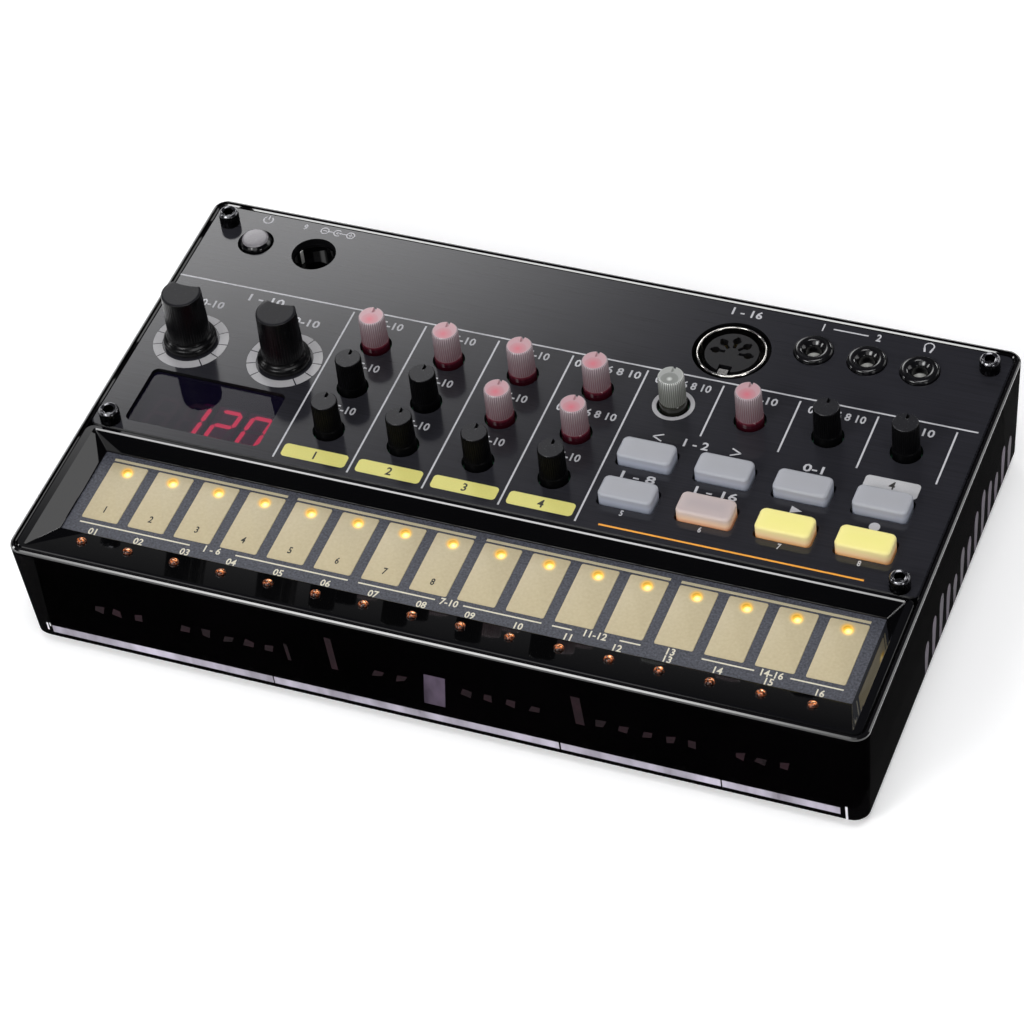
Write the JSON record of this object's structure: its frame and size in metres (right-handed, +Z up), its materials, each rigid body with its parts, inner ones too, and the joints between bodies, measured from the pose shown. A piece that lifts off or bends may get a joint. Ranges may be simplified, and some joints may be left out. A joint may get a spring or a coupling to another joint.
{
  "type": "drum machine",
  "caption": "Desktop drum machine: smoked plastic tub, metal panel with rotary knobs, lit keys, sockets, a display and a row of touch pads.",
  "frame": {"origin": "on the table under the middle of the case", "axes": "+X along the row of pads, +Y towards the sockets at the back, +Z up"},
  "size_m": [0.193, 0.115, 0.045],
  "materials": {
    "smoked_plastic": "gloss smoked",
    "panel_metal": "satin",
    "gloss_black": "gloss",
    "sheet_plastic": "fine texture",
    "pad_cream": "satin",
    "pad_light": "lit",
    "slope_light": "lit",
    "window_glass": "gloss",
    "module_plastic": "matt",
    "board": "matt",
    "cable": "matt",
    "chip_plastic": "matt",
    "capacitor": "satin",
    "pot_plastic": "matt",
    "switch_plastic": "matt",
    "led_clear": "clear",
    "led_red": "lit",
    "knob_black": "satin",
    "knob_clear": "frosted clear",
    "key_grey": "frosted",
    "key_lit": "frosted, lit",
    "button_grey": "satin",
    "nickel": "bright",
    "socket_black": "satin",
    "black_steel": "black oxide",
    "steel": "plain",
    "foot_rubber": "matt",
    "brass_tin": "tinned"
  },
  "bodies": {
    "case": {"case_tub": "smoked_plastic", "control_panel": "panel_metal", "pad_surround": "gloss_black", "pad_sheet": "sheet_plastic", "touch_pads": "pad_cream", "pad_lights": "pad_light", "slope_lights": "slope_light", "display_window": "window_glass", "display_module": "module_plastic", "main_board": "board", "key_board": "board", "socket_board": "board", "flat_cable": "cable", "chips": "chip_plastic", "capacitors": "capacitor", "pot_bodies": "pot_plastic", "switch_bodies": "switch_plastic", "key_lights": "led_clear", "knob_lights": "led_red", "din_shell": "nickel", "din_insert": "socket_black", "sync_in_jack": "socket_black", "sync_out_jack": "socket_black", "phones_jack": "socket_black", "power_inlet": "socket_black", "inlet_pin": "nickel", "panel_screws": "black_steel", "board_screws": "steel", "rubber_feet": "foot_rubber", "battery_contacts": "steel", "speaker": "black_steel", "socket_contacts": "brass_tin"},
    "dial_1": {"dial_1": "knob_black"},
    "dial_2": {"dial_2": "knob_black"},
    "knob_1": {"knob_1": "knob_clear"},
    "knob_2": {"knob_2": "knob_clear"},
    "knob_3": {"knob_3": "knob_clear"},
    "knob_4": {"knob_4": "knob_clear"},
    "knob_5": {"knob_5": "knob_clear"},
    "knob_6": {"knob_6": "knob_clear"},
    "knob_7": {"knob_7": "knob_black"},
    "knob_8": {"knob_8": "knob_black"},
    "knob_9": {"knob_9": "knob_black"},
    "knob_10": {"knob_10": "knob_black"},
    "knob_11": {"knob_11": "knob_clear"},
    "knob_12": {"knob_12": "knob_clear"},
    "knob_13": {"knob_13": "knob_black"},
    "knob_14": {"knob_14": "knob_black"},
    "knob_15": {"knob_15": "knob_black"},
    "knob_16": {"knob_16": "knob_black"},
    "key_1": {"key_1": "key_grey"},
    "key_2": {"key_2": "key_grey"},
    "key_3": {"key_3": "key_grey"},
    "key_4": {"key_4": "key_grey"},
    "key_5": {"key_5": "key_grey"},
    "key_6": {"key_6": "key_grey"},
    "key_7": {"key_7": "key_lit"},
    "key_8": {"key_8": "key_lit"},
    "power_button": {"power_button": "button_grey"},
    "battery_door": {"battery_door": "smoked_plastic"}
  },
  "joints": [
    {"name": "dial_1_turn", "type": "hinge", "parent": "case", "child": "dial_1", "pos_m": [-0.0835, 0.0123, 0.03], "axis": [0, 0, 1], "range_deg": [-140, 140]},
    {"name": "dial_2_turn", "type": "hinge", "parent": "case", "child": "dial_2", "pos_m": [-0.0605, 0.0123, 0.03], "axis": [0, 0, 1], "range_deg": [-140, 140]},
    {"name": "knob_1_turn", "type": "hinge", "parent": "case", "child": "knob_1", "pos_m": [-0.04244, 0.0222, 0.03], "axis": [0, 0, 1], "range_deg": [-140, 140]},
    {"name": "knob_2_turn", "type": "hinge", "parent": "case", "child": "knob_2", "pos_m": [-0.02487, 0.0222, 0.03], "axis": [0, 0, 1], "range_deg": [-140, 140]},
    {"name": "knob_3_turn", "type": "hinge", "parent": "case", "child": "knob_3", "pos_m": [-0.00731, 0.0222, 0.03], "axis": [0, 0, 1], "range_deg": [-140, 140]},
    {"name": "knob_4_turn", "type": "hinge", "parent": "case", "child": "knob_4", "pos_m": [0.01026, 0.0222, 0.03], "axis": [0, 0, 1], "range_deg": [-140, 140]},
    {"name": "knob_5_turn", "type": "hinge", "parent": "case", "child": "knob_5", "pos_m": [0.02782, 0.0222, 0.03], "axis": [0, 0, 1], "range_deg": [-140, 140]},
    {"name": "knob_6_turn", "type": "hinge", "parent": "case", "child": "knob_6", "pos_m": [0.04539, 0.0222, 0.03], "axis": [0, 0, 1], "range_deg": [-140, 140]},
    {"name": "knob_7_turn", "type": "hinge", "parent": "case", "child": "knob_7", "pos_m": [0.06296, 0.0222, 0.03], "axis": [0, 0, 1], "range_deg": [-140, 140]},
    {"name": "knob_8_turn", "type": "hinge", "parent": "case", "child": "knob_8", "pos_m": [0.08052, 0.0222, 0.03], "axis": [0, 0, 1], "range_deg": [-140, 140]},
    {"name": "knob_9_turn", "type": "hinge", "parent": "case", "child": "knob_9", "pos_m": [-0.04244, 0.0085, 0.03], "axis": [0, 0, 1], "range_deg": [-140, 140]},
    {"name": "knob_10_turn", "type": "hinge", "parent": "case", "child": "knob_10", "pos_m": [-0.02487, 0.0085, 0.03], "axis": [0, 0, 1], "range_deg": [-140, 140]},
    {"name": "knob_11_turn", "type": "hinge", "parent": "case", "child": "knob_11", "pos_m": [-0.00731, 0.0085, 0.03], "axis": [0, 0, 1], "range_deg": [-140, 140]},
    {"name": "knob_12_turn", "type": "hinge", "parent": "case", "child": "knob_12", "pos_m": [0.01026, 0.0085, 0.03], "axis": [0, 0, 1], "range_deg": [-140, 140]},
    {"name": "knob_13_turn", "type": "hinge", "parent": "case", "child": "knob_13", "pos_m": [-0.04244, -0.0052, 0.03], "axis": [0, 0, 1], "range_deg": [-140, 140]},
    {"name": "knob_14_turn", "type": "hinge", "parent": "case", "child": "knob_14", "pos_m": [-0.02487, -0.0052, 0.03], "axis": [0, 0, 1], "range_deg": [-140, 140]},
    {"name": "knob_15_turn", "type": "hinge", "parent": "case", "child": "knob_15", "pos_m": [-0.00731, -0.0052, 0.03], "axis": [0, 0, 1], "range_deg": [-140, 140]},
    {"name": "knob_16_turn", "type": "hinge", "parent": "case", "child": "knob_16", "pos_m": [0.01026, -0.0052, 0.03], "axis": [0, 0, 1], "range_deg": [-140, 140]},
    {"name": "key_1_press", "type": "slide", "parent": "case", "child": "key_1", "axis": [0, 0, 1], "range_m": [-0.0006, 0], "stiffness_N_per_m": 400, "springref_m": 0.0001},
    {"name": "key_2_press", "type": "slide", "parent": "case", "child": "key_2", "axis": [0, 0, 1], "range_m": [-0.0006, 0], "stiffness_N_per_m": 400, "springref_m": 0.0001},
    {"name": "key_3_press", "type": "slide", "parent": "case", "child": "key_3", "axis": [0, 0, 1], "range_m": [-0.0006, 0], "stiffness_N_per_m": 400, "springref_m": 0.0001},
    {"name": "key_4_press", "type": "slide", "parent": "case", "child": "key_4", "axis": [0, 0, 1], "range_m": [-0.0006, 0], "stiffness_N_per_m": 400, "springref_m": 0.0001},
    {"name": "key_5_press", "type": "slide", "parent": "case", "child": "key_5", "axis": [0, 0, 1], "range_m": [-0.0006, 0], "stiffness_N_per_m": 400, "springref_m": 0.0001},
    {"name": "key_6_press", "type": "slide", "parent": "case", "child": "key_6", "axis": [0, 0, 1], "range_m": [-0.0006, 0], "stiffness_N_per_m": 400, "springref_m": 0.0001},
    {"name": "key_7_press", "type": "slide", "parent": "case", "child": "key_7", "axis": [0, 0, 1], "range_m": [-0.0006, 0], "stiffness_N_per_m": 400, "springref_m": 0.0001},
    {"name": "key_8_press", "type": "slide", "parent": "case", "child": "key_8", "axis": [0, 0, 1], "range_m": [-0.0006, 0], "stiffness_N_per_m": 400, "springref_m": 0.0001},
    {"name": "power_press", "type": "slide", "parent": "case", "child": "power_button", "axis": [0, 0, 1], "range_m": [-0.0015, 0], "stiffness_N_per_m": 300, "springref_m": 0.0002},
    {"name": "battery_door_lift", "type": "slide", "parent": "case", "child": "battery_door", "axis": [0, 0, -1], "range_m": [0, 0.03]}
  ]
}
